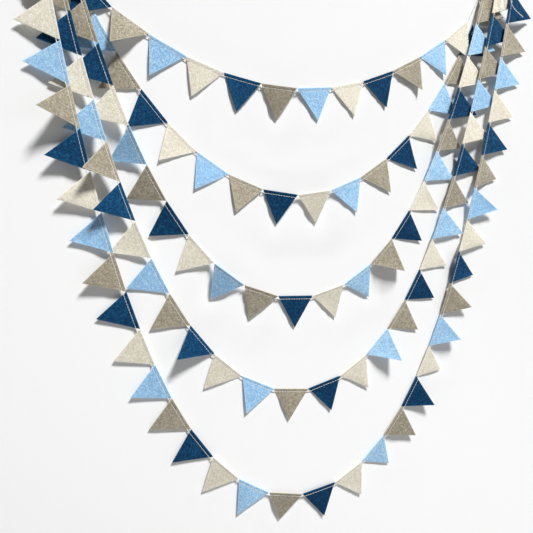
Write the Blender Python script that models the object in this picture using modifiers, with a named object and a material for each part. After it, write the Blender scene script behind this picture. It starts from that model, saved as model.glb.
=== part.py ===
"""Felt pennant bunting hung in five nested swags between two gathered ties.

Metres, +Z up. +X runs along the swags to the right and -Y faces the viewer. The origin is the
left hanging point, where the thread of the left tie ends; the right one is SPAN away at the same
height. Small felt pennants stand corner to corner along each string, joined only by the thread
that is sewn through them just below their top edge. One object holds one colour repeat of four
pennants with the thread that bridges to the next repeat.
"""

import math
from collections import namedtuple

import bmesh
import bpy
from mathutils import Vector

# The pennants
FLAG_WIDTH = 0.050
FLAG_HEIGHT = 0.045
FELT_THICKNESS = 0.0012
FLAG_GAP = 0.0008  # between the top corners of two neighbours
PITCH = FLAG_WIDTH + FLAG_GAP
REPEAT = 4  # pennants in one colour repeat

# The sewn thread, measured down from a pennant's top edge
SEAM_TOP = 0.0040
SEAM_BOTTOM = 0.0050
THREAD_REST = 0.0010  # clear of the next solid it reaches
LEAD_REST = 0.0013  # the same for a tie's thread, which meets a sloping side

# The ties
SPAN = 0.657  # between the two hanging points
TIE_DROP = 0.020  # from a hanging point down to its knot
KNOT_RADIUS = 0.003
GATHER_DROP = 0.007  # a lead keeps its swag's layer up to this far below the knot
THREAD_DIAMETER = 0.0010
TUBE_SIDES = 8

STIFF_REACH = 0.080  # how far from its lowest point a swag's stiff felt lifts the string

# A free pennant sways a little more or less than its neighbour, by these most amounts
UNEVEN_SWING = math.radians(2.0)
UNEVEN_LEAN = 0.0012
UNEVEN_CURL = math.radians(5.0)
UNEVEN_CUP = 0.0008

# How one pennant hangs: its swing out towards the viewer, how far its tip leans to the right, and
# the share of the unevenness it has; those packed between two other swags lie flat
Hang = namedtuple("Hang", "swing lean free")
HANGS = {
    "-": Hang(0.0, 0.0, 0.2),
    ".": Hang(0.0, 0.0, 1.0),
    "f": Hang(math.radians(10), 0.0, 1.0),
    "F": Hang(math.radians(20), 0.0, 1.0),
    "L": Hang(math.radians(29), 0.0, 1.0),
    "M": Hang(math.radians(42), 0.003, 1.0),
    "b": Hang(math.radians(-10), 0.0, 1.0),
    "B": Hang(math.radians(-18), 0.001, 1.0),
    "T": Hang(math.radians(-28), -0.003, 1.0),
    "O": Hang(math.radians(36), -0.006, 1.0),
    "l": Hang(math.radians(-1), -0.005, 0.2),
    "r": Hang(math.radians(-4), 0.006, 1.0),
}

# One row a swag. low_x and low_z place the string's lowest point, low_flag counts the pennants
# up to it from the left end, curve is the catenary's parameter, lift how far the stiff felt raises
# the lowest point above it and depth the swag's layer along Y. left_in and right_in count the
# pennants that bend from the free curve towards each tie.
Swag = namedtuple(
    "Swag", "name flags repeat low_x low_z low_flag curve lift depth left_in right_in hangs"
)
SWAGS = (
    Swag("swag_1", 14, "BCNT", 0.3120, -0.2660, 7.70, 0.345, 0.0, 0.004, 3, 0,
         "---Fll.b...f.l"),
    Swag("swag_2", 20, "TNCB", 0.3265, -0.4105, 9.91, 0.184, 0.0, 0.008, 2, 1,
         "------fffbb.f.r-----"),
    Swag("swag_3", 25, "NCBT", 0.3290, -0.5590, 12.55, 0.134, 0.004, 0.000, 2, 1,
         "------BBb-Bb.bbF...b-----"),
    Swag("swag_4", 30, "CBTN", 0.3315, -0.6880, 14.72, 0.128, 0.0, -0.004, 2, 1,
         "------ML.l.Olf...L.-bfb-------"),
    Swag("swag_5", 36, "BTNC", 0.3370, -0.8410, 18.00, 0.124, 0.0, -0.008, 2, 1,
         "----lMff.fl-.ll..b..bffbffb.fblllll-"),
)

# Finishes: base colour, roughness
FINISHES = {
    "N": ("felt_navy", (0.006, 0.050, 0.125), 0.95),
    "T": ("felt_taupe", (0.340, 0.305, 0.235), 0.95),
    "B": ("felt_blue", (0.360, 0.600, 0.850), 0.95),
    "C": ("felt_cream", (0.780, 0.740, 0.620), 0.95),
    "thread": ("thread", (0.820, 0.770, 0.640), 0.70),
}
FLAG_COLOURS = "NTBC"
THREAD_SLOT = len(FLAG_COLOURS)

# Two loose thread ends hang from the right tie, as offsets from its knot: right, back and up.
TAIL_ROUTE = (
    (0.0000, -0.0034, -0.0006),
    (0.0004, -0.0080, -0.0014),
    (0.0012, -0.0122, -0.0085),
    (0.0020, -0.0135, -0.0260),
    (0.0022, -0.0134, -0.0520),
    (0.0030, -0.0122, -0.0780),
    (0.0056, -0.0116, -0.0930),
    (0.0105, -0.0114, -0.1000),
    (0.0160, -0.0114, -0.1040),
    (0.0225, -0.0114, -0.1078),
    (0.0286, -0.0114, -0.1112),
)
LOOP_ROUTE = (
    (-0.0022, -0.0027, -0.0004),
    (-0.0042, -0.0072, -0.0010),
    (-0.0064, -0.0116, -0.0080),
    (-0.0100, -0.0132, -0.0260),
    (-0.0150, -0.0134, -0.0520),
    (-0.0185, -0.0124, -0.0780),
    (-0.0192, -0.0120, -0.0940),
    (-0.0178, -0.0120, -0.1007),
    (-0.0133, -0.0121, -0.1045),
    (-0.0080, -0.0121, -0.1056),
    (-0.0056, -0.0121, -0.1010),
    (-0.0062, -0.0122, -0.0900),
    (-0.0060, -0.0132, -0.0640),
    (-0.0046, -0.0133, -0.0380),
    (-0.0032, -0.0126, -0.0170),
    (-0.0014, -0.0072, -0.0030),
    (-0.0008, -0.0032, -0.0020),
)
POINT_SPACING = 0.0035  # along a loose thread

FORWARD = Vector((0.0, -1.0, 0.0))


def clear_scene():
    for obj in list(bpy.data.objects):
        bpy.data.objects.remove(obj, do_unlink=True)


def new_collection(name):
    collection = bpy.data.collections.new(name)
    bpy.context.scene.collection.children.link(collection)
    return collection


def finish(name):
    """The Principled material of one finish, made on its first use."""
    label, colour, roughness = FINISHES[name]
    material = bpy.data.materials.get(label)
    if material is None:
        material = bpy.data.materials.new(label)
        material.use_nodes = True
        shader = material.node_tree.nodes["Principled BSDF"]
        shader.inputs["Base Color"].default_value = (*colour, 1.0)
        shader.inputs["Roughness"].default_value = roughness
        shader.inputs["Metallic"].default_value = 0.0
    return material


def uneven(number, turn):
    """A fixed up-and-down value between -1 and 1 for a pennant's number."""
    return math.sin(number * turn)


def knot_point(side):
    """The middle of the knot at the left (0) or right (1) end."""
    return Vector((side * SPAN, 0.0, -TIE_DROP))


def curve_point(swag, number):
    """Where this number of pitches along the swag's hanging curve lies."""
    run = (number - swag.low_flag) * PITCH
    lift = swag.lift * math.exp(-((run / STIFF_REACH) ** 2))
    return Vector(
        (
            swag.low_x + swag.curve * math.asinh(run / swag.curve),
            swag.depth,
            swag.low_z + math.hypot(run, swag.curve) - swag.curve + lift,
        )
    )


def free_corners(swag):
    """The string's corners on its free curve, a pitch apart from the lowest one outwards."""
    curve = [curve_point(swag, n) for n in range(swag.flags + 1)]
    corners = list(curve)
    lowest = round(swag.low_flag)
    for inward, numbers in (
        (1, range(lowest - 1, -1, -1)),
        (-1, range(lowest + 1, swag.flags + 1)),
    ):
        for n in numbers:
            heading = (curve[n] - curve[n + inward]).normalized()
            corners[n] = corners[n + inward] + heading * PITCH
    return corners


def draw_in(corners, numbers, inward, knot):
    """Turns the string's last corners from the free curve towards the knot, a pitch at a time."""
    free = [corners[n].copy() for n in range(len(corners))]
    for step, number in enumerate(numbers, start=1):
        before = number + inward
        goal = Vector((knot.x, corners[before].y, knot.z))
        along_curve = (free[number] - free[before]).normalized()
        to_knot = (goal - corners[before]).normalized()
        heading = along_curve.lerp(to_knot, step / len(numbers)).normalized()
        corners[number] = corners[before] + heading * PITCH


def string_corners(swag):
    """The top corners of a swag's pennants from left to right, one more than its pennants."""
    corners = free_corners(swag)
    draw_in(corners, range(swag.left_in - 1, -1, -1), 1, knot_point(0))
    last = swag.flags
    draw_in(corners, range(last - swag.right_in + 1, last + 1), -1, knot_point(1))
    return corners


class Pennant:
    """One felt triangle: its top edge, the way it hangs and the points of its sheet."""

    def __init__(self, swag, index, corners):
        number = index + 40 * SWAGS.index(swag)
        hang = HANGS[swag.hangs[index]]
        self.colour = swag.repeat[index % REPEAT]
        self.middle = (corners[index] + corners[index + 1]) / 2
        self.along = (corners[index + 1] - corners[index]).normalized()
        self.out = Vector((self.along.z, 0.0, -self.along.x))
        self.swing = hang.swing + hang.free * UNEVEN_SWING * uneven(number, 2.39)
        self.lean = hang.lean + hang.free * UNEVEN_LEAN * uneven(number, 1.71)
        self.curl = hang.free * UNEVEN_CURL * uneven(number, 3.11)
        self.cup = hang.free * UNEVEN_CUP * uneven(number, 2.83)

    def point(self, across, down):
        """The point at across, -1 to 1 between the sides, and down, 0 at the top to 1 at the tip."""
        reach = down * FLAG_HEIGHT
        angle = self.swing + self.curl * down / 2
        side = across * FLAG_WIDTH / 2 * (1 - down) + self.lean * down
        bulge = self.cup * (1 - across * across) * down * (1 - down) * 4
        return (
            self.middle
            + self.along * side
            + self.out * (reach * math.cos(angle))
            + FORWARD * (reach * math.sin(angle) + bulge)
        )

    def seam_end(self, across):
        """The middle of the sewn thread where it leaves the left (-1) or right (1) side."""
        return self.point(across, (SEAM_TOP + SEAM_BOTTOM) / 2 / FLAG_HEIGHT)


ROWS = (0.0, SEAM_TOP / FLAG_HEIGHT, SEAM_BOTTOM / FLAG_HEIGHT, 0.52, 1.0)
SEAM_ROWS = (1, 2)
COLUMNS = 2
APEX_MERGE = 1e-5


def add_pennant(bm, pennant):
    """Adds the open sheet of one pennant, and returns its seam edges at the left and right side."""
    grid = bmesh.ops.create_grid(bm, x_segments=COLUMNS, y_segments=len(ROWS) - 1, size=1.0)
    rows = {}
    for vert in grid["verts"]:
        row = round((1 - vert.co.y) / 2 * (len(ROWS) - 1))
        rows.setdefault((round(vert.co.x), row), vert)
        for face in vert.link_faces:
            face.material_index = FLAG_COLOURS.index(pennant.colour)
        vert.co = pennant.point(vert.co.x, ROWS[row])
    seams = [bm.edges.get([rows[side, row] for row in SEAM_ROWS]) for side in (-1, 1)]
    tip = [vert for vert in grid["verts"] if (vert.co - pennant.point(0, 1)).length < APEX_MERGE]
    bmesh.ops.remove_doubles(bm, verts=tip, dist=APEX_MERGE)
    return seams


def bridge_thread(bm, left_seam, right_seam):
    """The thread between two pennants of one repeat."""
    made = bmesh.ops.bridge_loops(bm, edges=[left_seam, right_seam])
    for face in made["faces"]:
        face.material_index = THREAD_SLOT


def thread_stub(bm, seam, pennant, follower):
    """The thread from a repeat's last pennant to just short of the next one."""
    made = bmesh.ops.extrude_edge_only(bm, edges=[seam])["geom"]
    for item in made:
        if isinstance(item, bmesh.types.BMVert):
            row = min(SEAM_ROWS, key=lambda r: (pennant.point(1, ROWS[r]) - item.co).length)
            goal = follower.point(-1, ROWS[row])
            item.co = goal + (item.co - goal).normalized() * THREAD_REST
        elif isinstance(item, bmesh.types.BMFace):
            item.material_index = THREAD_SLOT


def build_repeat(name, pennants, follower, collection):
    """One object of up to four pennants on their thread."""
    bm = bmesh.new()
    seams = [add_pennant(bm, pennant) for pennant in pennants]
    for before, after in zip(seams, seams[1:]):
        bridge_thread(bm, before[1], after[0])
    if follower:
        thread_stub(bm, seams[-1][1], pennants[-1], follower)
    bmesh.ops.recalc_face_normals(bm, faces=bm.faces)
    mesh = bpy.data.meshes.new(name)
    bm.to_mesh(mesh)
    bm.free()
    for colour in (*FLAG_COLOURS, "thread"):
        mesh.materials.append(finish(colour))
    obj = bpy.data.objects.new(name, mesh)
    collection.objects.link(obj)
    felt = obj.modifiers.new("felt", "SOLIDIFY")
    felt.thickness = FELT_THICKNESS
    felt.offset = 0.0
    return obj


def build_swag(swag, collection):
    """All repeats of one swag, and the places where its thread leaves its two ends."""
    corners = string_corners(swag)
    pennants = [Pennant(swag, index, corners) for index in range(swag.flags)]
    for first in range(0, swag.flags, REPEAT):
        group = pennants[first : first + REPEAT]
        follower = pennants[first + REPEAT] if first + REPEAT < swag.flags else None
        name = f"{swag.name}_flags_{first + 1:02d}_{first + len(group):02d}"
        build_repeat(name, group, follower, collection)
    ends = []
    for pennant, across in ((pennants[0], -1), (pennants[-1], 1)):
        exit_point = pennant.seam_end(across)
        ends.append(exit_point + pennant.along * across * LEAD_REST)
    return ends


def tube_between(name, start, end, collection):
    """A straight closed tube of thread."""
    bm = bmesh.new()
    reach = end - start
    bmesh.ops.create_cone(
        bm,
        cap_ends=True,
        segments=TUBE_SIDES,
        radius1=THREAD_DIAMETER / 2,
        radius2=THREAD_DIAMETER / 2,
        depth=reach.length,
    )
    turn = Vector((0, 0, 1)).rotation_difference(reach).to_matrix()
    bmesh.ops.rotate(bm, verts=bm.verts, matrix=turn)
    bmesh.ops.translate(bm, verts=bm.verts, vec=(start + end) / 2)
    mesh = bpy.data.meshes.new(name)
    bm.to_mesh(mesh)
    bm.free()
    obj = bpy.data.objects.new(name, mesh)
    obj.hide_render = True
    obj.display_type = "WIRE"
    collection.objects.link(obj)
    return obj


def build_tie(name, side, thread_ends, collection):
    """The knot that gathers one end of every swag, with its thread up to the hanging point."""
    knot = knot_point(side)
    threads = new_collection(f"{name}_threads")
    tube_between(f"{name}_hanger", knot, Vector((side * SPAN, 0.0, 0.0)), threads)
    for number, end in enumerate(thread_ends, start=1):
        turn = end.lerp(knot, 1 - GATHER_DROP / (knot.z - end.z))
        turn.y = end.y
        tube_between(f"{name}_lead_{number}", end, turn, threads)
        tube_between(f"{name}_gather_{number}", turn, knot, threads)
    bm = bmesh.new()
    bmesh.ops.create_uvsphere(bm, u_segments=12, v_segments=8, radius=KNOT_RADIUS)
    bmesh.ops.translate(bm, verts=bm.verts, vec=knot)
    mesh = bpy.data.meshes.new(name)
    bm.to_mesh(mesh)
    bm.free()
    mesh.materials.append(finish("thread"))
    mesh.shade_smooth()
    obj = bpy.data.objects.new(name, mesh)
    collection.objects.link(obj)
    joined = obj.modifiers.new("threads", "BOOLEAN")
    joined.operation = "UNION"
    joined.operand_type = "COLLECTION"
    joined.collection = threads
    return obj


def smooth_route(points, spacing):
    """Evenly spaced points on a Catmull-Rom curve through the route's own points."""
    dense = []
    padded = [points[0], *points, points[-1]]
    for a, b, c, d in zip(padded, padded[1:], padded[2:], padded[3:]):
        for step in range(24):
            t = step / 24
            dense.append(
                b * (1 + t * t * (1.5 * t - 2.5))
                + a * (t * (t * (1 - 0.5 * t) - 0.5))
                + c * (t * (t * (2 - 1.5 * t) + 0.5))
                + d * (t * t * (0.5 * t - 0.5))
            )
    dense.append(points[-1])
    length = sum((q - p).length for p, q in zip(dense, dense[1:]))
    count = round(length / spacing)
    even, passed, target = [dense[0]], 0.0, length / count
    for p, q in zip(dense, dense[1:]):
        piece = (q - p).length
        while passed + piece >= target and len(even) < count:
            even.append(p.lerp(q, (target - passed) / piece))
            target += length / count
        passed += piece
    even.append(dense[-1])
    return even


def build_loose_thread(name, offsets, collection):
    """One loose thread end of the right tie, as a filled tube along its route."""
    knot = knot_point(1)
    points = smooth_route([knot + Vector(offset) for offset in offsets], POINT_SPACING)
    curve = bpy.data.curves.new(name, "CURVE")
    curve.dimensions = "3D"
    curve.bevel_depth = THREAD_DIAMETER / 2
    curve.bevel_resolution = 2
    curve.use_fill_caps = True
    spline = curve.splines.new("POLY")
    spline.points.add(len(points) - 1)
    for slot, point in zip(spline.points, points):
        slot.co = (*point, 1.0)
    curve.materials.append(finish("thread"))
    obj = bpy.data.objects.new(name, curve)
    collection.objects.link(obj)
    return obj


def main():
    clear_scene()
    bunting = new_collection("felt_pennant_bunting")
    ends = [build_swag(swag, bunting) for swag in SWAGS]
    build_tie("tie_left", 0, [left for left, _ in ends], bunting)
    build_tie("tie_right", 1, [right for _, right in ends], bunting)
    build_loose_thread("loose_thread_tail", TAIL_ROUTE, bunting)
    build_loose_thread("loose_thread_loop", LOOP_ROUTE, bunting)


main()
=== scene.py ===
"""Felt pennant bunting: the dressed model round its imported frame.

Metres, +Z up. +X runs along the swags from the left hanging point, which is the origin, to the
right one, and the viewer stands at -Y. Every pennant is a piece of its own, cut from a finely
divided felt sheet that hangs where its solid does. Each swag has one piece of machine stitching.
The threads between the pennants, the ties' leads and the two loose threads are laid up from plies.
"""

import logging
import math
import random
from dataclasses import dataclass, field
from enum import Enum
from typing import Iterable, Sequence

import bmesh
import bpy
from bmesh.types import BMesh
from bpy.types import Material, Mesh, NodeSocket, Object, World
from mathutils import Matrix, Vector, noise


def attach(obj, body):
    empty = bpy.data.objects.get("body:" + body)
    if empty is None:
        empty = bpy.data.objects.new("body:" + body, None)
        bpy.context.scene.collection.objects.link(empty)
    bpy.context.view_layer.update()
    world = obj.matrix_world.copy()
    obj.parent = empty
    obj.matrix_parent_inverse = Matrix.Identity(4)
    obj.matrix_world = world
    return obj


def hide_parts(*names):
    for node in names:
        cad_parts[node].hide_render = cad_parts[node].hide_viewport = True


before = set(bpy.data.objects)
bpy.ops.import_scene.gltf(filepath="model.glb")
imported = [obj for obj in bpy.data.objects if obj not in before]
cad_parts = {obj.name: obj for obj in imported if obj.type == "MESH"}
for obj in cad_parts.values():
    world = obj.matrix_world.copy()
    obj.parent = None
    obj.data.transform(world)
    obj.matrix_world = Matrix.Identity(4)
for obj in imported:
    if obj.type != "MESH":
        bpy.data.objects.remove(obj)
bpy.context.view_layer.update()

log = logging.getLogger("felt_pennant_bunting")

BODY = "root"
FORWARD = Vector((0.0, -1.0, 0.0))
UP = Vector((0.0, 0.0, 1.0))
TINY = 1e-6  # nearer than this is the same place


# ---- Shader building ----


class Socket:
    """An output socket of a shader, on which Python's operators add Math nodes."""

    def __init__(self, tree: "ShaderTree", plug: NodeSocket) -> None:
        """Wraps one output socket.

        Args:
            tree: the shader that the socket belongs to.
            plug: Blender's own socket.
        """
        self.tree = tree
        self.plug = plug

    def _math(self, operation: str, first: "Number", second: "Number") -> "Socket":
        """One Math node.

        Args:
            operation: the Math node's operation.
            first: its first value.
            second: its second value.

        Returns:
            The node's output.
        """
        return self.tree.node("ShaderNodeMath", {"operation": operation}, {0: first, 1: second})

    def __add__(self, other: "Number") -> "Socket":
        """The sum."""
        return self._math("ADD", self, other)

    __radd__ = __add__

    def __sub__(self, other: "Number") -> "Socket":
        """The difference."""
        return self._math("SUBTRACT", self, other)

    def __rsub__(self, other: "Number") -> "Socket":
        """The difference, the other way round."""
        return self._math("SUBTRACT", other, self)

    def __mul__(self, other: "Number") -> "Socket":
        """The product."""
        return self._math("MULTIPLY", self, other)

    __rmul__ = __mul__

    def spread(self, low: float, high: float) -> "Socket":
        """The value's range from low to high, stretched smoothly to 0 to 1 and clamped.

        Args:
            low: the value that becomes 0.
            high: the value that becomes 1.

        Returns:
            The stretched value.
        """
        return self.tree.node(
            "ShaderNodeMapRange",
            {"interpolation_type": "SMOOTHSTEP"},
            {"Value": self, "From Min": low, "From Max": high},
        )


Number = Socket | float
Colour = tuple[float, float, float]


class ShaderTree:
    """The nodes of one material or of the world."""

    def __init__(self, owner: Material | World) -> None:
        """Empties the owner's node tree.

        Args:
            owner: the material or world whose nodes are built.
        """
        owner.use_nodes = True
        self.owner = owner
        self.nodes = owner.node_tree.nodes
        self.links = owner.node_tree.links
        self.nodes.clear()

    def node(
        self,
        kind: str,
        settings: dict | None = None,
        inputs: dict | None = None,
        output: int | str = 0,
    ) -> Socket | None:
        """Adds one node.

        Args:
            kind: Blender's node type.
            settings: what is set on the node first.
            inputs: a value, or a Socket to link, by the input's name or number.
            output: the output that is handed back.

        Returns:
            The chosen output, or None where the node has none.
        """
        made = self.nodes.new(kind)
        for name, value in (settings or {}).items():
            setattr(made, name, value)
        for name, value in (inputs or {}).items():
            if isinstance(value, Socket):
                self.links.new(value.plug, made.inputs[name])
            elif isinstance(value, tuple) and len(value) == 3 and made.inputs[name].type == "RGBA":
                made.inputs[name].default_value = (*value, 1.0)
            else:
                made.inputs[name].default_value = value
        outputs = made.outputs
        return Socket(self, outputs[output]) if len(outputs) else None

    def place(self) -> Socket:
        """The point that is shaded, in the object's own metres."""
        return self.node("ShaderNodeTexCoord", output="Object")

    def moved(self, where: Socket, turn: Sequence[float], scale: Sequence[float]) -> Socket:
        """A point turned and scaled for a stretched pattern.

        Args:
            where: the point.
            turn: rotation about the three axes, in radians.
            scale: scale along the three axes.

        Returns:
            The new point.
        """
        return self.node(
            "ShaderNodeMapping",
            {"vector_type": "TEXTURE"},
            {"Vector": where, "Rotation": tuple(turn), "Scale": tuple(scale)},
        )

    def clouds(self, where: Socket, per_metre: float, detail: float, rough: float = 0.5) -> Socket:
        """Noise of a given fineness.

        Args:
            where: the point.
            per_metre: how many blotches there are to a metre.
            detail: how many finer layers it has.
            rough: how strong the finer layers are.

        Returns:
            The noise, about 0.5.
        """
        return self.node(
            "ShaderNodeTexNoise",
            {"noise_dimensions": "3D"},
            {"Vector": where, "Scale": per_metre, "Detail": detail, "Roughness": rough},
        )

    def blend(self, share: Number, first: Socket | Colour, second: Socket | Colour) -> Socket:
        """A colour between two others.

        Args:
            share: 0 for the first, 1 for the second.
            first: one colour.
            second: the other colour.

        Returns:
            The blended colour.
        """
        return self.node(
            "ShaderNodeMix", {"data_type": "RGBA"}, {0: share, 6: first, 7: second}, output=2
        )

    def bump(self, height: Socket, strength: float, distance: float) -> Socket:
        """A normal from a height.

        Args:
            height: the height, 0 to 1.
            strength: how much of it counts.
            distance: the height of 1, in metres.

        Returns:
            The normal.
        """
        return self.node(
            "ShaderNodeBump", {}, {"Height": height, "Strength": strength, "Distance": distance}
        )

    def attribute(self, name: str) -> Socket:
        """A number that the mesh carries.

        Args:
            name: the attribute's name.

        Returns:
            Its value.
        """
        return self.node("ShaderNodeAttribute", {"attribute_name": name}, output="Fac")

    def surface(self, inputs: dict) -> None:
        """Ends a material in a Principled shader.

        Args:
            inputs: the shader's values and links.
        """
        shader = self.node("ShaderNodeBsdfPrincipled", {}, inputs)
        self.node("ShaderNodeOutputMaterial", {}, {"Surface": shader})


# ---- Finishes ----


class FeltColour(Enum):
    """The four felts, by the letter that the repeats name them with."""

    NAVY = "N"
    TAUPE = "T"
    BLUE = "B"
    CREAM = "C"


@dataclass(frozen=True)
class FibreRun:
    """Fibres that lie one way in the felt."""

    turn: float  # in radians
    fine: float  # how many there are to a metre
    share: float  # how much of the fibres' tone it makes


@dataclass(frozen=True)
class Matting:
    """How the fibres of every felt are matted: how many marks to a metre, and their shares."""

    drift_fine: float = 14.0  # slow changes of tone
    tuft_fine: float = 300.0
    grain_fine: float = 620.0
    runs: tuple[FibreRun, ...] = (
        FibreRun(0.3, 260.0, 0.4),
        FibreRun(1.35, 290.0, 0.35),
        FibreRun(2.4, 240.0, 0.4),
    )
    stretch: tuple[float, float, float] = (1.0, 0.35, 0.16)  # makes marks into long fibres
    drift_own: float = 0.5  # the slow changes' part of the drift
    dye_own: float = 0.9  # the pennant's own part of it
    drift_share: float = 0.12
    tuft_share: float = 0.24
    grain_share: float = 0.42
    fibre_share: float = 0.30
    dent_painted_shade: float = 0.30  # painted shade: how much darker the felt is painted in the dent under the stitching
    brink_pale: float = 0.8  # how much of the cut edge's colour shows beside it
    rim_pale: float = 0.65  # how much of it shows on the cut edge itself


MATTING = Matting()


@dataclass(frozen=True)
class FeltFinish:
    """The look of one felt: matted fibres of slightly different tones."""

    slot: str
    deep: Colour  # the fibres in the hollows
    body: Colour  # most of the fibres
    pale: Colour  # the loose fibres on top
    cut: Colour  # the cut edge
    sheen: float = 0.25

    def tone(self, tree: ShaderTree) -> tuple[Socket, Socket]:
        """The felt's colour and height from its matted fibres.

        Args:
            tree: the shader that gets the nodes.

        Returns:
            The colour and the height.
        """
        mat = MATTING
        where = tree.place()
        slow = tree.clouds(where, mat.drift_fine, 1.0).spread(0.3, 0.7)
        drift = slow * mat.drift_own + tree.attribute("dye") * mat.dye_own
        tufts = tree.clouds(where, mat.tuft_fine, 3.0, 0.6).spread(0.36, 0.64)
        grain = tree.clouds(where, mat.grain_fine, 4.0, 0.8).spread(0.36, 0.64)
        fibres = [
            tree.clouds(tree.moved(where, (0.0, run.turn, 0.0), mat.stretch), run.fine, 2.0, 0.6)
            .spread(0.42, 0.74) * run.share
            for run in mat.runs
        ]
        matted = (
            tufts * mat.tuft_share
            + grain * mat.grain_share
            + (fibres[0] + fibres[1] + fibres[2]) * mat.fibre_share
            + drift * mat.drift_share
        )
        colour = tree.blend(matted.spread(0.24, 0.66), self.deep, self.body)
        colour = tree.blend(matted.spread(0.58, 0.95), colour, self.pale)
        return colour, matted

    def face(self) -> Material:
        """The felt's two faces, with painted shade in the dent along the seam and paler along the
        cut edge.

        Returns:
            The material.
        """
        tree = ShaderTree(bpy.data.materials.new(self.slot))
        colour, height = self.tone(tree)
        # Painted shade: the felt is darkened towards its deepest tone in the dent that the
        # stitching pulls.
        colour = tree.blend(tree.attribute("press") * MATTING.dent_painted_shade, colour, self.deep)
        colour = tree.blend(tree.attribute("brink") * MATTING.brink_pale, colour, self.cut)
        tree.surface(
            {
                "Base Color": colour,
                "Roughness": 0.97 - height * 0.1,
                "Normal": tree.bump(height, 0.75, 0.0004),
                "Sheen Weight": self.sheen,
                "Sheen Roughness": 0.45,
                "Specular IOR Level": 0.15,
            }
        )
        return tree.owner

    def rim(self) -> Material:
        """The cut edge, where the blade lays the fibre ends bare.

        Returns:
            The material.
        """
        tree = ShaderTree(bpy.data.materials.new(f"{self.slot}_cut_edge"))
        colour, height = self.tone(tree)
        tree.surface(
            {
                "Base Color": tree.blend(MATTING.rim_pale, colour, self.cut),
                "Roughness": 0.99 - height * 0.06,
                "Normal": tree.bump(height, 0.9, 0.0005),
                "Sheen Weight": self.sheen,
                "Sheen Roughness": 0.5,
                "Specular IOR Level": 0.1,
            }
        )
        return tree.owner


FELTS: dict[FeltColour, FeltFinish] = {
    FeltColour.NAVY: FeltFinish(
        "felt_navy", (0.0008, 0.020, 0.061), (0.0024, 0.047, 0.123), (0.017, 0.116, 0.236),
        (0.012, 0.090, 0.180), sheen=0.02,
    ),
    FeltColour.TAUPE: FeltFinish(
        "felt_taupe", (0.222, 0.192, 0.140), (0.372, 0.332, 0.254), (0.505, 0.463, 0.372),
        (0.580, 0.535, 0.440),
    ),
    FeltColour.BLUE: FeltFinish(
        "felt_blue", (0.215, 0.410, 0.650), (0.355, 0.580, 0.800), (0.560, 0.760, 0.905),
        (0.560, 0.770, 0.930),
    ),
    FeltColour.CREAM: FeltFinish(
        "felt_cream", (0.610, 0.562, 0.442), (0.755, 0.711, 0.598), (0.860, 0.828, 0.738),
        (0.920, 0.900, 0.840),
    ),
}


@dataclass(frozen=True)
class ThreadFinish:
    """The look of the cream sewing thread."""

    slot: str = "thread"
    hollow: Colour = (0.760, 0.730, 0.650)
    strand: Colour = (0.960, 0.945, 0.890)
    hair_fine: float = 3800.0  # how many there are to a metre
    slub_fine: float = 240.0
    hair_share: float = 0.6

    def material(self) -> Material:
        """Spun thread: fine hairs over a slightly glossy twist.

        Returns:
            The material.
        """
        tree = ShaderTree(bpy.data.materials.new(self.slot))
        where = tree.place()
        hairs = tree.clouds(where, self.hair_fine, 3.0, 0.7).spread(0.3, 0.7)
        slubs = tree.clouds(where, self.slub_fine, 2.0).spread(0.3, 0.7)
        tone = hairs * self.hair_share + slubs * (1 - self.hair_share)
        tree.surface(
            {
                "Base Color": tree.blend(tone.spread(0.05, 0.75), self.hollow, self.strand),
                "Roughness": 0.72 - hairs * 0.2,
                "Normal": tree.bump(hairs, 0.5, 0.00012),
                "Sheen Weight": 0.2,
                "Sheen Roughness": 0.4,
                "Specular IOR Level": 0.35,
            }
        )
        return tree.owner


# ---- The tables that the solids are built from ----


@dataclass(frozen=True)
class Felt:
    """Sizes of one pennant and of its seam."""

    width: float = 0.050
    height: float = 0.045
    thickness: float = 0.0012
    gap: float = 0.0008  # between the top corners of two neighbours
    seam: float = 0.0045  # from the top edge down to the stitching
    hem: float = 0.0005  # how far the top edge curls forward above the stitching
    ripple: float = 0.00022  # the most that the felt is out of flat
    ripple_fine: float = 55.0  # about how many ripples there are to a metre
    ripple_stride: float = 3.7  # from one pennant's ripples to the next one's
    ripple_full: float = 0.012  # below the top edge, where the ripples are full
    cut_round: float = 0.00022  # how far the cut's edges are rounded
    cut_angle: float = math.radians(50)  # edges sharper than this are rounded

    @property
    def pitch(self) -> float:
        """From one top corner to the next along the string."""
        return self.width + self.gap

    @property
    def half_seam(self) -> float:
        """Half the length of a pennant's seam."""
        return self.width / 2 * (1 - self.seam / self.height)


@dataclass(frozen=True)
class Hang:
    """How a pennant hangs."""

    swing: float  # towards the viewer, in degrees
    lean: float  # of its tip to the right
    free: float  # the share of the unevenness that it has


@dataclass(frozen=True)
class Uneven:
    """One way in which pennants differ from each other."""

    most: float
    beat: float  # how fast it changes from pennant to pennant, in radians

    def at(self, number: int) -> float:
        """One pennant's own amount."""
        return self.most * math.sin(number * self.beat)


@dataclass(frozen=True)
class Course:
    """The hanging curve of one swag and the colours and hangs of its pennants."""

    name: str
    flags: int
    repeat: str  # the colours of one repeat, by the letters of FeltColour
    low_x: float  # the string's lowest point
    low_z: float
    low_flag: float  # how many pennants there are up to it from the left end
    curve: float  # the catenary's parameter
    lift: float  # how far the stiff felt raises the lowest point above a catenary
    depth: float  # the swag's layer along Y
    left_in: int  # how many pennants bend from the free curve towards the left tie
    right_in: int  # the same at the right tie
    hangs: str  # one letter of HANGS a pennant


FELT = Felt()
SPAN = 0.657  # between the two hanging points
TIE_DROP = 0.020  # from a hanging point down to its knot
GATHER_DROP = 0.007  # a lead keeps its swag's layer up to this far below the knot
REPEAT = 4  # pennants in one colour repeat
STIFF_REACH = 0.080  # how far from its lowest point a swag is lifted
SWAG_STRIDE = 40  # from one swag's numbers to the next one's, more than a swag has pennants
SEAM_INSET = 0.0006  # how far inside the felt a bridging thread begins
THREAD_LIFT = 0.0002  # how far in front of the felt's middle it begins

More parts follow.
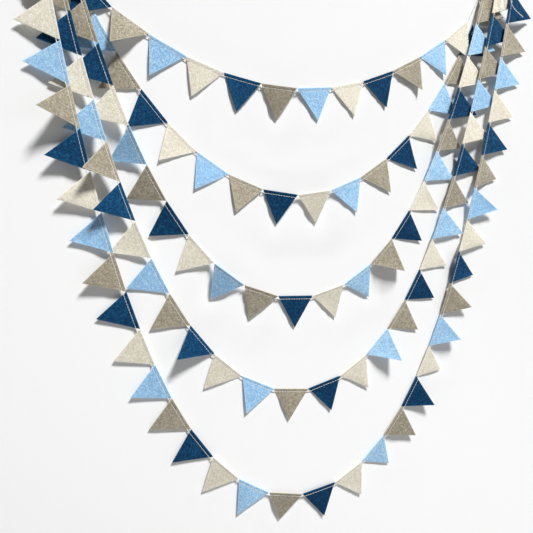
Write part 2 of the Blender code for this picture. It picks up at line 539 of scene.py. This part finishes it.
UNEVEN_SWING = Uneven(math.radians(2.0), 2.39)
UNEVEN_LEAN = Uneven(0.0012, 1.71)
UNEVEN_CURL = Uneven(math.radians(5.0), 3.11)
UNEVEN_CUP = Uneven(0.0008, 2.83)
UNEVEN_DYE = Uneven(0.5, 4.37)

HANGS: dict[str, Hang] = {
    "-": Hang(0, 0.0, 0.2),
    ".": Hang(0, 0.0, 1.0),
    "f": Hang(10, 0.0, 1.0),
    "F": Hang(20, 0.0, 1.0),
    "L": Hang(29, 0.0, 1.0),
    "M": Hang(42, 0.003, 1.0),
    "b": Hang(-10, 0.0, 1.0),
    "B": Hang(-18, 0.001, 1.0),
    "T": Hang(-28, -0.003, 1.0),
    "O": Hang(36, -0.006, 1.0),
    "l": Hang(-1, -0.005, 0.2),
    "r": Hang(-4, 0.006, 1.0),
}

COURSES: tuple[Course, ...] = (
    Course("swag_1", 14, "BCNT", 0.3120, -0.2660, 7.70, 0.345, 0.0, 0.004, 3, 0,
           "---Fll.b...f.l"),
    Course("swag_2", 20, "TNCB", 0.3265, -0.4105, 9.91, 0.184, 0.0, 0.008, 2, 1,
           "------fffbb.f.r-----"),
    Course("swag_3", 25, "NCBT", 0.3290, -0.5590, 12.55, 0.134, 0.004, 0.000, 2, 1,
           "------BBb-Bb.bbF...b-----"),
    Course("swag_4", 30, "CBTN", 0.3315, -0.6880, 14.72, 0.128, 0.0, -0.004, 2, 1,
           "------ML.l.Olf...L.-bfb-------"),
    Course("swag_5", 36, "BTNC", 0.3370, -0.8410, 18.00, 0.124, 0.0, -0.008, 2, 1,
           "----lMff.fl-.ll..b..bffbffb.fblllll-"),
)

# The routes of the two loose threads, as offsets from the right tie's knot: right, back and up
TAIL_ROUTE = (
    (0.0000, -0.0034, -0.0006),
    (0.0004, -0.0080, -0.0014),
    (0.0012, -0.0122, -0.0085),
    (0.0020, -0.0135, -0.0260),
    (0.0022, -0.0134, -0.0520),
    (0.0030, -0.0122, -0.0780),
    (0.0056, -0.0116, -0.0930),
    (0.0105, -0.0114, -0.1000),
    (0.0160, -0.0114, -0.1040),
    (0.0225, -0.0114, -0.1078),
    (0.0286, -0.0114, -0.1112),
)
LOOP_ROUTE = (
    (-0.0022, -0.0027, -0.0004),
    (-0.0042, -0.0072, -0.0010),
    (-0.0064, -0.0116, -0.0080),
    (-0.0100, -0.0132, -0.0260),
    (-0.0150, -0.0134, -0.0520),
    (-0.0185, -0.0124, -0.0780),
    (-0.0192, -0.0120, -0.0940),
    (-0.0178, -0.0120, -0.1007),
    (-0.0133, -0.0121, -0.1045),
    (-0.0080, -0.0121, -0.1056),
    (-0.0056, -0.0121, -0.1010),
    (-0.0062, -0.0122, -0.0900),
    (-0.0060, -0.0132, -0.0640),
    (-0.0046, -0.0133, -0.0380),
    (-0.0032, -0.0126, -0.0170),
    (-0.0014, -0.0072, -0.0030),
    (-0.0008, -0.0032, -0.0020),
)


def knot_point(side: int) -> Vector:
    """The middle of the knot at the left (0) or right (1) end."""
    return Vector((side * SPAN, 0.0, -TIE_DROP))


def string_corners(course: Course) -> list[Vector]:
    """The top corners of a swag's pennants from left to right.

    Args:
        course: the swag's table row.

    Returns:
        One corner more than the swag has pennants.
    """

    def curve_point(number: int) -> Vector:
        """Where a corner would lie on the hanging curve.

        Args:
            number: how many pitches it is from the left end.

        Returns:
            The point.
        """
        run = (number - course.low_flag) * FELT.pitch
        lift = course.lift * math.exp(-((run / STIFF_REACH) ** 2))
        return Vector(
            (
                course.low_x + course.curve * math.asinh(run / course.curve),
                course.depth,
                course.low_z + math.hypot(run, course.curve) - course.curve + lift,
            )
        )

    curve = [curve_point(n) for n in range(course.flags + 1)]
    corners = list(curve)
    lowest = round(course.low_flag)
    for inward, numbers in (
        (1, range(lowest - 1, -1, -1)),
        (-1, range(lowest + 1, course.flags + 1)),
    ):
        for n in numbers:
            heading = (curve[n] - curve[n + inward]).normalized()
            corners[n] = corners[n + inward] + heading * FELT.pitch
    free = list(corners)
    for numbers, inward, side in (
        (range(course.left_in - 1, -1, -1), 1, 0),
        (range(course.flags - course.right_in + 1, course.flags + 1), -1, 1),
    ):
        for step, number in enumerate(numbers, start=1):
            before = corners[number + inward]
            goal = knot_point(side)
            goal.y = before.y
            along_curve = (free[number] - free[number + inward]).normalized()
            heading = along_curve.lerp((goal - before).normalized(), step / len(numbers))
            corners[number] = before + heading.normalized() * FELT.pitch
    return corners


# ---- Mesh helpers ----

ROUTE_STEPS = 24  # worked out between two points of a route, before they are evenly spaced


def new_piece(name: str, bm: BMesh, materials: Iterable[Material]) -> Object:
    """Turns a bmesh into an object at the origin.

    Args:
        name: the piece's name.
        bm: its mesh, which is freed.
        materials: its material slots.

    Returns:
        The new object.
    """
    mesh = bpy.data.meshes.new(name)
    bm.to_mesh(mesh)
    bm.free()
    for material in materials:
        mesh.materials.append(material)
    mesh.shade_smooth()
    obj = bpy.data.objects.new(name, mesh)
    bpy.context.scene.collection.objects.link(obj)
    return obj


def face_viewer(bm: BMesh) -> None:
    """Turns an open sheet's faces all one way, towards the viewer.

    Args:
        bm: the sheet's mesh.
    """
    bmesh.ops.recalc_face_normals(bm, faces=bm.faces)
    if sum((face.normal for face in bm.faces), Vector()).dot(FORWARD) < 0:
        bmesh.ops.reverse_faces(bm, faces=bm.faces)


def smooth_route(points: Sequence[Vector], spacing: float) -> list[Vector]:
    """Evenly spaced points on a smooth (Catmull-Rom) curve through the route's own points.

    Args:
        points: the route.
        spacing: about how far apart the new points lie.

    Returns:
        The new points.
    """
    dense = []
    padded = [points[0], *points, points[-1]]
    for a, b, c, d in zip(padded, padded[1:], padded[2:], padded[3:]):
        for step in range(ROUTE_STEPS):
            t = step / ROUTE_STEPS
            dense.append(
                b * (1 + t * t * (1.5 * t - 2.5))
                + a * (t * (t * (1 - 0.5 * t) - 0.5))
                + c * (t * (t * (2 - 1.5 * t) + 0.5))
                + d * (t * t * (0.5 * t - 0.5))
            )
    dense.append(points[-1])
    length = sum((q - p).length for p, q in zip(dense, dense[1:]))
    count = max(2, round(length / spacing))
    even, passed, target = [dense[0]], 0.0, length / count
    for p, q in zip(dense, dense[1:]):
        piece = (q - p).length
        while passed + piece >= target and len(even) < count:
            even.append(p.lerp(q, (target - passed) / piece))
            target += length / count
        passed += piece
    even.append(dense[-1])
    return even


@dataclass
class ThreadWork:
    """Runs of plied sewing thread that end up in one mesh."""

    ply_radius: float = 0.00024  # of one ply
    lay_radius: float = 0.00021  # from the thread's middle to a ply's
    lay_length: float = 0.0030  # for one full turn of the plies
    lay_steps: int = 8  # points to a turn
    plies: int = 2
    runs: list[list[Vector]] = field(default_factory=list)

    def add(self, points: Sequence[Vector], start: float = 0.0) -> None:
        """Lays up one thread along a line.

        Args:
            points: the line that the thread follows.
            start: the first ply's angle at the beginning.
        """
        line = smooth_route(points, self.lay_length / self.lay_steps)
        tangent = (line[1] - line[0]).normalized()
        side = tangent.orthogonal().normalized()
        made: list[list[Vector]] = [[] for _ in range(self.plies)]
        passed = 0.0
        for here, ahead in zip(line, [*line[1:], line[-1] * 2 - line[-2]]):
            heading = (ahead - here).normalized()
            side = tangent.rotation_difference(heading) @ side
            side = (side - heading * side.dot(heading)).normalized()
            tangent = heading
            other = heading.cross(side)
            for number, ply in enumerate(made):
                angle = start + math.tau * (passed / self.lay_length + number / self.plies)
                ply.append(
                    here + (side * math.cos(angle) + other * math.sin(angle)) * self.lay_radius
                )
            passed += (ahead - here).length
        self.runs += made

    def pour(self, bm: BMesh, radius: float | None = None) -> None:
        """Sweeps every run into round strands, adds them to a bmesh and forgets them.

        Args:
            bm: the mesh that gets the strands.
            radius: of the strands, or None for a ply's.
        """
        curve = bpy.data.curves.new("thread_run", "CURVE")
        curve.dimensions = "3D"
        curve.bevel_depth = radius or self.ply_radius
        curve.bevel_resolution = 1
        curve.use_fill_caps = True
        for points in self.runs:
            spline = curve.splines.new("POLY")
            spline.points.add(len(points) - 1)
            for slot, point in zip(spline.points, points):
                slot.co = (*point, 1.0)
        obj = bpy.data.objects.new("thread_run", curve)
        bpy.context.scene.collection.objects.link(obj)
        bpy.context.view_layer.update()
        swept = bpy.data.meshes.new_from_object(
            obj.evaluated_get(bpy.context.evaluated_depsgraph_get())
        )
        bm.from_mesh(swept)
        bpy.data.objects.remove(obj, do_unlink=True)
        bpy.data.curves.remove(curve)
        bpy.data.meshes.remove(swept)
        self.runs = []


# ---- Pennants ----


@dataclass
class FlatSheet:
    """The felt triangle as it lies on the cutting table, its top edge along X."""

    felt: Felt
    cuts: int = 15
    groove: float = 0.0009  # half the width of the dent that the stitching pulls
    groove_slack: float = 1.05  # the dent reaches this many times as far as the cuts beside it
    pinch: float = 0.4  # how much thinner the stitching pulls the felt, as a share
    margin: float = 0.0010  # the band along the cut edge
    brink_thick: float = 0.9  # the share of the felt's thickness at the cut edge
    corner: float = 0.00005  # how far the blunt corners lie inside the sharp ones
    ease: float = 0.00035  # how far each side of the cut stands out past the solid's

    def build(self) -> Mesh:
        """Cuts and divides the triangle, and marks its seam and edge.

        Returns:
            The flat mesh, with "press" for the dent, "brink" for the cut edge and the weights
            of its thickness.
        """
        felt = self.felt
        bm = bmesh.new()
        reach = felt.width / 2 + self.ease
        ends = ((-reach, 0.0), (0.0, -felt.height), (reach, 0.0))
        bm.faces.new([bm.verts.new((x, y, 0.0)) for x, y in ends])
        bmesh.ops.subdivide_edges(bm, edges=bm.edges[:], cuts=self.cuts, use_grid_fill=True)
        for line in (felt.seam - self.groove, felt.seam, felt.seam + self.groove):
            bmesh.ops.bisect_plane(
                bm,
                geom=bm.verts[:] + bm.edges[:] + bm.faces[:],
                plane_co=(0.0, -line, 0.0),
                plane_no=(0.0, 1.0, 0.0),
                dist=TINY,
            )
        bmesh.ops.inset_region(
            bm, faces=bm.faces[:], thickness=self.margin, use_boundary=True, use_even_offset=True
        )
        centre = Vector((0.0, -felt.height / 3, 0.0))
        for x, y in ends:
            sharp = Vector((x, y, 0.0))
            blunt = min(bm.verts, key=lambda v: (v.co - sharp).length)
            blunt.co += (centre - blunt.co).normalized() * self.corner
        press = bm.verts.layers.float.new("press")
        brink = bm.verts.layers.float.new("brink")
        weights = bm.verts.layers.deform.new("thickness")
        for vert in bm.verts:
            off = abs(-vert.co.y - felt.seam)
            vert[press] = 1.0 - min(off / (self.groove * self.groove_slack), 1.0)
            vert[brink] = 1.0 if vert.is_boundary else 0.0
            edge = self.brink_thick if vert.is_boundary else 1.0
            vert[weights][0] = (1.0 - self.pinch * vert[press]) * edge
        mesh = bpy.data.meshes.new("felt_blank")
        bm.to_mesh(mesh)
        bm.free()
        return mesh


class Pennant:
    """One felt triangle on its string."""

    def __init__(self, course: Course, index: int, corners: Sequence[Vector]) -> None:
        """Works out how this pennant hangs.

        Args:
            course: its swag's table row.
            index: its place along the swag, from 0.
            corners: the swag's top corners.
        """
        number = index + SWAG_STRIDE * COURSES.index(course)
        hang = HANGS[course.hangs[index]]
        self.number = number
        self.name = f"{course.name}_flag_{index + 1:02d}"
        first = index - index % REPEAT + 1
        last = min(first + REPEAT - 1, course.flags)
        self.node = f"{course.name}_flags_{first:02d}_{last:02d}"
        self.colour = FeltColour(course.repeat[index % REPEAT])
        self.middle = (corners[index] + corners[index + 1]) / 2
        self.along = (corners[index + 1] - corners[index]).normalized()
        self.out = Vector((self.along.z, 0.0, -self.along.x))
        self.swing = math.radians(hang.swing) + hang.free * UNEVEN_SWING.at(number)
        self.lean = hang.lean + hang.free * UNEVEN_LEAN.at(number)
        self.curl = hang.free * UNEVEN_CURL.at(number)
        self.cup = hang.free * UNEVEN_CUP.at(number)
        self.dye = 0.5 + UNEVEN_DYE.at(number)

    def point(self, side: float, fall: float, lift: float = 0.0) -> Vector:
        """A point of the hanging felt from its place on the flat sheet.

        Args:
            side: metres from the middle line to the right.
            fall: metres down from the top edge.
            lift: metres off the sheet's middle towards the viewer.

        Returns:
            The point.
        """
        down = fall / FELT.height
        half = FELT.width / 2 * (1 - down)
        across = max(-1.0, min(1.0, side / half)) if half > TINY else 0.0
        angle = self.swing + self.curl * down / 2
        bulge = self.cup * (1 - across * across) * down * (1 - down) * 4
        bulge += FELT.hem * max(0.0, 1 - fall / FELT.seam)
        fine = FELT.ripple_fine
        ripple = noise.noise(Vector((side * fine, fall * fine, self.number * FELT.ripple_stride)))
        bulge += FELT.ripple * ripple * min(1.0, fall / FELT.ripple_full)
        normal = FORWARD * math.cos(angle) - self.out * math.sin(angle)
        return (
            self.middle
            + self.along * (side + self.lean * down)
            + self.out * (fall * math.cos(angle))
            + FORWARD * (fall * math.sin(angle) + bulge)
            + normal * lift
        )

    def seam_end(self, end: int) -> Vector:
        """Where the sewn thread leaves the felt at its left (-1) or right (1) end."""
        return self.point(end * (FELT.half_seam - SEAM_INSET), FELT.seam, THREAD_LIFT)

    def build(self, blank: Mesh, finishes: Sequence[Material]) -> Object:
        """Hangs a copy of the flat sheet and gives it the felt's thickness.

        Args:
            blank: the flat sheet.
            finishes: the face's and the cut edge's materials.

        Returns:
            The pennant.
        """
        bm = bmesh.new()
        bm.from_mesh(blank)
        dye = bm.verts.layers.float.new("dye")
        for vert in bm.verts:
            vert.co = self.point(vert.co.x, -vert.co.y)
            vert[dye] = self.dye
        face_viewer(bm)
        obj = new_piece(self.name, bm, finishes)
        obj.vertex_groups.new(name="thickness")
        body = obj.modifiers.new("body", "SOLIDIFY")
        body.thickness = FELT.thickness
        body.offset = 0.0
        body.vertex_group = "thickness"
        body.thickness_vertex_group = 0.0
        body.material_offset_rim = 1
        edge = obj.modifiers.new("edge", "BEVEL")
        edge.width = FELT.cut_round
        edge.segments = 2
        edge.limit_method = "ANGLE"
        edge.angle_limit = FELT.cut_angle
        edge.use_clamp_overlap = True
        return obj


# ---- Swags ----


@dataclass
class SewnSwag:
    """One swag: its pennants and the machine stitching that joins them."""

    course: Course
    stitch_pitch: float = 0.00375
    stitch_length: float = 0.0035
    stitch_width: float = 0.00052
    stitch_height: float = 0.00046
    stitch_scatter: float = 0.00003  # the most that a stitch lies above or below the seam
    stitch_slant: float = 0.00005  # the most that an end then lies above or below its middle
    stitch_bed: float = 0.3  # from the felt's middle to the dent, as a share of its thickness
    stitch_proud: float = 0.22  # from there to a stitch's middle, as a share of its height
    bridge_ply: float = 0.00030  # the radius of a ply between two pennants
    bridge_lay: float = 0.00025  # from that thread's middle to a ply's
    bridge_sag: float = 0.00015  # how far it hangs down in between
    pennants: list[Pennant] = field(default_factory=list)

    def __post_init__(self) -> None:
        """Works out where every pennant hangs."""
        corners = string_corners(self.course)
        self.pennants = [Pennant(self.course, n, corners) for n in range(self.course.flags)]

    def stitch_blank(self) -> Mesh:
        """One stitch: a short plump length of thread, lying along X.

        Returns:
            The stitch's mesh, to be copied.
        """
        bm = bmesh.new()
        bmesh.ops.create_uvsphere(bm, u_segments=6, v_segments=6, radius=0.5)
        bmesh.ops.rotate(bm, verts=bm.verts, matrix=Matrix.Rotation(math.radians(90), 3, "Y"))
        for vert in bm.verts:
            belly = math.sqrt(max(0.0, 1 - (2 * vert.co.x) ** 4))
            ball = math.sqrt(max(0.0, 1 - (2 * vert.co.x) ** 2))
            swell = belly / ball if ball > 0.01 else 1.0  # a pole stays where it is
            vert.co.y *= swell
            vert.co.z *= swell
        bmesh.ops.scale(
            bm, verts=bm.verts, vec=(self.stitch_length, self.stitch_width, self.stitch_height)
        )
        mesh = bpy.data.meshes.new("stitch_blank")
        bm.to_mesh(mesh)
        bm.free()
        return mesh

    def sew(self, thread: Material) -> Object:
        """Builds the stitches of both faces and the thread from pennant to pennant.

        Args:
            thread: the thread's material.

        Returns:
            The swag's stitching.
        """
        chance = random.Random(self.course.flags)
        blank = self.stitch_blank()
        bm = bmesh.new()
        half = FELT.half_seam
        count = round(2 * half / self.stitch_pitch)
        for pennant in self.pennants:
            for number in range(count):
                side = -half + (number + 0.5) * 2 * half / count
                for face in (1, -1):
                    self.add_stitch(bm, blank, pennant, side, face, chance)
        work = ThreadWork(ply_radius=self.bridge_ply, lay_radius=self.bridge_lay)
        for before, after in zip(self.pennants, self.pennants[1:]):
            start, end = before.seam_end(1), after.seam_end(-1)
            sag = (start + end) / 2 - UP * self.bridge_sag
            work.add([start, sag, end], start=chance.uniform(0, math.tau))
        work.pour(bm)
        bpy.data.meshes.remove(blank)
        return new_piece(f"{self.course.name}_stitching", bm, [thread])

    def add_stitch(
        self,
        bm: BMesh,
        blank: Mesh,
        pennant: Pennant,
        side: float,
        face: int,
        chance: random.Random,
    ) -> None:
        """Lays one stitch on a pennant's face.

        Args:
            bm: the stitching's mesh.
            blank: one stitch.
            pennant: the pennant that is sewn.
            side: the stitch's middle along the seam.
            face: 1 for the front, -1 for the back.
            chance: the seeded source of unevenness.
        """
        lift = face * (FELT.thickness * self.stitch_bed + self.stitch_height * self.stitch_proud)
        half = self.stitch_length / 2
        fall = FELT.seam + chance.uniform(-self.stitch_scatter, self.stitch_scatter)
        slant = chance.uniform(-self.stitch_slant, self.stitch_slant)
        start = pennant.point(side - half, fall - slant, lift)
        end = pennant.point(side + half, fall + slant, lift)
        along = (end - start).normalized()
        normal = pennant.point(side, fall, lift + face) - pennant.point(side, fall, lift)
        across = normal.cross(along).normalized()
        known = len(bm.verts)
        bm.from_mesh(blank)
        bm.verts.ensure_lookup_table()
        turn = Matrix((along, across, along.cross(across))).transposed().to_4x4()
        bmesh.ops.transform(
            bm, matrix=Matrix.Translation((start + end) / 2) @ turn, verts=bm.verts[known:]
        )

    def build(
        self, blank: Mesh, felts: dict[FeltColour, list[Material]], thread: Material
    ) -> None:
        """Args:
            blank: the flat felt sheet.
            felts: the face's and cut edge's material of each felt.
            thread: the thread's material.
        """
        stitching = self.sew(thread)
        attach(stitching, BODY)
        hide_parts(*sorted({pennant.node for pennant in self.pennants}))
        for pennant in self.pennants:
            piece = pennant.build(blank, felts[pennant.colour])
            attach(piece, BODY)
            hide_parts(pennant.node)


# ---- Ties and loose threads ----


@dataclass
class ThreadTie:
    """The tie at one end: five swag threads gathered in a knot under a small hanging loop."""

    name: str
    node: str
    side: int
    loop_radius: float = 0.0028
    loop_rest: float = 0.0006  # between the hanging point and the loop's top
    loop_skew: float = 0.08  # how far the loop is out of flat, as a share of its radius
    neck_drop: float = 0.004  # from the loop's bottom down to where its ends meet
    twin_gap: float = 0.0004  # half the distance between the two threads below the neck
    knot_core: float = 0.0016  # from the knot's middle to the middle of its windings
    knot_wrap: float = 0.0009  # how far they go in and out from there
    knot_deep: float = 1.3  # along Y, as a share of knot_wrap
    knot_tall: float = 1.1  # upright, as a share of its width
    knot_thread: float = 0.00062  # the radius of the thread that it is wound from
    knot_steps: int = 96

    def hanger(self, work: ThreadWork) -> None:
        """Lays the thread from the knot up to the hanging loop.

        Args:
            work: the runs of thread.
        """
        knot = knot_point(self.side)
        eye = Vector((self.side * SPAN, 0.0, -self.loop_radius - self.loop_rest))
        neck = eye - UP * (self.loop_radius + self.neck_drop)
        ring = [
            eye
            + Vector((math.sin(a), self.loop_skew * math.sin(2 * a), math.cos(a)))
            * self.loop_radius
            for a in (math.radians(degrees) for degrees in range(-150, 151, 25))  # open below
        ]
        for offset in (-self.twin_gap, self.twin_gap):
            shift = Vector((0.0, offset, 0.0))
            work.add([knot + shift, knot.lerp(neck, 0.5) + shift, neck + shift * 0.5])
        work.add([neck, *ring, neck])

    def knot(self, work: ThreadWork) -> None:
        """Winds the knot: a thread that crosses itself three times.

        Args:
            work: the runs of thread.
        """
        middle = knot_point(self.side)
        turns = []
        for step in range(self.knot_steps + 1):
            t = math.tau * step / self.knot_steps
            reach = self.knot_core + self.knot_wrap * math.cos(3 * t)
            turns.append(
                middle
                + Vector(
                    (
                        reach * math.cos(2 * t),
                        self.knot_wrap * self.knot_deep * math.sin(3 * t),
                        reach * self.knot_tall * math.sin(2 * t),
                    )
                )
            )
        work.runs.append(turns)

    def build(self, swags: Sequence[SewnSwag], thread: Material) -> None:
        """Args:
            swags: the five swags that it gathers.
            thread: the thread's material.
        """
        middle = knot_point(self.side)
        work = ThreadWork()
        for swag in swags:
            start = swag.pennants[-self.side].seam_end(2 * self.side - 1)
            turn = start.lerp(middle, 1 - GATHER_DROP / (middle.z - start.z))
            turn.y = start.y
            work.add([start, start.lerp(turn, 0.5), turn, middle])
        self.hanger(work)
        bm = bmesh.new()
        work.pour(bm)
        self.knot(work)
        work.pour(bm, self.knot_thread)
        bmesh.ops.recalc_face_normals(bm, faces=bm.faces)
        piece = new_piece(self.name, bm, [thread])
        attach(piece, BODY)
        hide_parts(self.node)


@dataclass
class LooseThread:
    """A loose end of thread that hangs from the right tie."""

    name: str
    node: str
    route: Sequence[tuple[float, float, float]]
    far_end: str
    spacing: float = 0.0035  # between the points of its path
    diameter: float = 0.0010
    ply_share: float = 0.27  # a ply's radius, as a share of the diameter
    lay_share: float = 0.23  # from the thread's middle to a ply's, the same way

    def build(self, thread: Material) -> None:
        """Args:
            thread: the thread's material.
        """
        knot = knot_point(1)
        line = smooth_route([knot + Vector(offset) for offset in self.route], self.spacing)
        bm = bmesh.new()
        work = ThreadWork(
            ply_radius=self.diameter * self.ply_share, lay_radius=self.diameter * self.lay_share
        )
        work.add(line)
        work.pour(bm)
        piece = new_piece(self.name, bm, [thread])
        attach(piece, BODY)
        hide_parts(self.node)
        length = sum((b - a).length for a, b in zip(line, line[1:]))
        log.info("%s: %.3f m of thread", self.name, length)


# ---- Studio ----


LIT_POINT = Vector((SPAN / 2, 0.0, -0.45))  # what every light is turned to


@dataclass(frozen=True)
class SoftLight:
    """A round soft light that faces the swags."""

    name: str
    towards: tuple[float, float, float]  # the direction from the swags to the light
    distance: float
    width: float
    power: float  # in watts

    def build(self) -> None:
        """Adds the light."""
        data = bpy.data.lights.new(self.name, "AREA")
        data.shape = "DISK"
        data.size = self.width
        data.energy = self.power
        light = bpy.data.objects.new(self.name, data)
        bpy.context.scene.collection.objects.link(light)
        light.location = LIT_POINT + Vector(self.towards).normalized() * self.distance
        light.rotation_euler = (LIT_POINT - light.location).to_track_quat("-Z", "Y").to_euler()


LIGHTS = (
    SoftLight("key_light", (0.55, -1.0, 1.55), 3.8, 0.75, 232.0),
    SoftLight("fill_light", (1.2, -1.0, 0.1), 2.0, 1.2, 4.2),
    SoftLight("back_light", (-0.3, 1.0, 0.15), 3.0, 1.0, 24.0),  # for the swags' backs only
)


@dataclass(frozen=True)
class PaperFinish:
    """The look of pale matt paper. Painted shade darkens it a little towards the key light, so
    that the key's brighter light there comes out even.
    """

    name: str
    near: float  # how pale it is at the upper right, next to the key light, darkened there as painted shade
    far: float  # how pale it is at the lower left
    backdrop: bool  # whether it is lit as flat, and is clear from behind and to the lights' rays
    away: tuple[float, float, float] = (-0.5, 0.0, -1.0)
    away_from: float = -0.35  # how far along it the paper starts to pale
    away_to: float = 0.85

    def material(self) -> Material:
        """The paper, and for a backdrop what lets the swags' backs be seen and lit.

        Returns:
            The material.
        """
        tree = ShaderTree(bpy.data.materials.new(self.name))
        away = tree.node(
            "ShaderNodeVectorMath",
            {"operation": "DOT_PRODUCT"},
            {0: tree.place(), 1: self.away},
            output="Value",
        )
        share = away.spread(self.away_from, self.away_to)
        # Painted shade: the paper is darker near the key light, where that light is brightest, so
        # that the lit backdrop comes out evenly bright.
        colour = tree.blend(share, (self.near,) * 3, (self.far,) * 3)
        inputs = {"Base Color": colour, "Roughness": 0.95, "Specular IOR Level": 0.0}
        if not self.backdrop:
            tree.surface(inputs)
            return tree.owner
        inputs["Normal"] = tree.node("ShaderNodeCombineXYZ", {}, {"Y": FORWARD.y})
        paper = tree.node("ShaderNodeBsdfPrincipled", {}, inputs)
        behind = tree.node("ShaderNodeNewGeometry", output="Backfacing")
        lighting = tree.node("ShaderNodeLightPath", output="Is Shadow Ray")
        either = tree.node("ShaderNodeMath", {"operation": "MAXIMUM"}, {0: behind, 1: lighting})
        clear = tree.node("ShaderNodeBsdfTransparent")
        shader = tree.node("ShaderNodeMixShader", {}, {0: either, 1: paper, 2: clear})
        tree.node("ShaderNodeOutputMaterial", {}, {"Surface": shader})
        return tree.owner


@dataclass
class Studio:
    """Camera, light, floor and backdrop."""

    eye: tuple[float, float, float] = (0.150, -0.5348, -0.475)
    yaw: float = 0.2453  # radians, as are the next two
    pitch: float = -0.0652
    roll: float = 0.0039
    lens: float = 27.0  # in millimetres, as is the sensor
    sensor: float = 36.0
    near_clip: float = 0.01
    room_seen: float = 0.86  # how pale the room is to the camera
    room_light: float = 0.055  # how much light it gives
    floor_z: float = -1.45
    floor_half: float = 4.0  # half its width
    sheet_left: float = -0.45
    sheet_right: float = 1.15
    sheet_top: float = 0.30
    sheet_columns: int = 110
    sheet_rows: int = 90
    paper_rest: float = -0.006  # the backdrop's place along Y where no pennant pushes it back
    paper_side: float = 0.004  # how much further back it is behind the left bundle
    side_x: float = -0.02  # how far right it is that much further back
    side_width: float = 0.16  # from there to where it is no further back
    paper_clear: float = 0.0024  # between a pennant's middle and the backdrop at the string
    paper_tip: float = 0.0030  # how much more room there is behind a pennant's tip
    paper_give: float = 12.0  # how soon it comes forward again, in metres a square metre

    def camera(self) -> None:
        """Sets up the camera at the photo's place."""
        data = bpy.data.cameras.new("studio_camera")
        data.lens = self.lens
        data.sensor_width = self.sensor
        data.clip_start = self.near_clip
        camera = bpy.data.objects.new("studio_camera", data)
        bpy.context.scene.collection.objects.link(camera)
        ahead = Vector(
            (
                math.sin(self.yaw) * math.cos(self.pitch),
                math.cos(self.yaw) * math.cos(self.pitch),
                math.sin(self.pitch),
            )
        )
        level = Vector((math.cos(self.yaw), -math.sin(self.yaw), 0.0))
        above = level.cross(ahead)
        right = level * math.cos(self.roll) + above * math.sin(self.roll)
        up = above * math.cos(self.roll) - level * math.sin(self.roll)
        turn = Matrix((right, up, -ahead)).transposed().to_4x4()
        camera.matrix_world = Matrix.Translation(self.eye) @ turn
        bpy.context.scene.camera = camera

    def lights(self) -> None:
        """Adds the lights and the even light of a pale room."""
        for light in LIGHTS:
            light.build()
        world = bpy.data.worlds.new("pale_room")
        bpy.context.scene.world = world
        tree = ShaderTree(world)
        seen = tree.node("ShaderNodeLightPath", output="Is Camera Ray")
        glow = seen * (self.room_seen - self.room_light) + self.room_light
        room = tree.node(
            "ShaderNodeBackground", {}, {"Color": (1.0, 1.0, 1.0), "Strength": glow}
        )
        tree.node("ShaderNodeOutputWorld", {}, {"Surface": room})

    def floor(self) -> Object:
        """Lays the floor.

        Returns:
            The floor.
        """
        bm = bmesh.new()
        bmesh.ops.create_grid(bm, x_segments=2, y_segments=2, size=self.floor_half)
        bmesh.ops.translate(bm, verts=bm.verts, vec=(SPAN / 2, 0.0, self.floor_z))
        paper = PaperFinish("pale_floor", 0.45, 0.45, backdrop=False)
        return new_piece("studio_floor", bm, [paper.material()])

    def backs(self, swags: Sequence[SewnSwag]) -> list[Vector]:
        """Points just behind the pennants: at their corners, and along the top and half way down.

        Args:
            swags: the five swags.

        Returns:
            The points that the backdrop stays behind.
        """
        half_way = FELT.height / 2
        places = (
            (-1, 0), (0, 0), (1, 0),
            (-0.5, half_way), (0, half_way), (0.5, half_way),
            (0, FELT.height),
        )
        return [
            pennant.point(side * FELT.width / 2, fall)
            - FORWARD * (self.paper_clear + self.paper_tip * fall / FELT.height)
            for swag in swags
            for pennant in swag.pennants
            for side, fall in places
        ]

    def backdrop(self, swags: Sequence[SewnSwag]) -> Object:
        """Stands a pale sheet close behind the swags, where it catches their shadows.

        Args:
            swags: the five swags, which push the sheet back.

        Returns:
            The backdrop.
        """
        backs = self.backs(swags)
        width, height = self.sheet_right - self.sheet_left, self.sheet_top - self.floor_z
        bm = bmesh.new()
        bmesh.ops.create_grid(
            bm, x_segments=self.sheet_columns, y_segments=self.sheet_rows, size=1.0
        )
        for vert in bm.verts:
            x = self.sheet_left + width * (vert.co.x + 1) / 2
            z = self.floor_z + height * (vert.co.y + 1) / 2
            pushed = (
                back.y - self.paper_give * ((back.x - x) ** 2 + (back.z - z) ** 2)
                for back in backs
            )
            beside = min(1.0, max(0.0, 1 - (x - self.side_x) / self.side_width))
            rest = self.paper_rest + self.paper_side * beside * beside
            vert.co = Vector((x, max(rest, *pushed), z))
        bmesh.ops.smooth_vert(bm, verts=bm.verts, factor=0.5, use_axis_y=True)
        face_viewer(bm)
        paper = PaperFinish("pale_backdrop", 0.70, 0.975, backdrop=True)
        return new_piece("studio_backdrop", bm, [paper.material()])


def main() -> None:
    """Builds the camera, the loose threads, the swags, the ties, the lights, the floor and the
    backdrop, in this order.
    """
    logging.basicConfig(level=logging.INFO, format="%(name)s: %(message)s")
    scene = bpy.context.scene
    scene.view_settings.view_transform = "Standard"
    scene.view_settings.look = "None"
    studio = Studio()
    studio.camera()
    thread = ThreadFinish().material()
    LooseThread("loose_tail", "loose_thread_tail", TAIL_ROUTE, "bare").build(thread)
    LooseThread("loose_loop", "loose_thread_loop", LOOP_ROUTE, "object").build(thread)
    felts = {colour: [felt.face(), felt.rim()] for colour, felt in FELTS.items()}
    blank = FlatSheet(FELT).build()
    swags = [SewnSwag(course) for course in COURSES]
    for swag in swags:
        swag.build(blank, felts, thread)
        log.info("%s: %d pennants", swag.course.name, len(swag.pennants))
    bpy.data.meshes.remove(blank)
    ThreadTie("left_tie", "tie_left", 0).build(swags, thread)
    ThreadTie("right_tie", "tie_right", 1).build(swags, thread)
    log.info("ties: 2")
    studio.lights()
    studio.floor()
    studio.backdrop(swags)


if __name__ == "__main__":
    main()
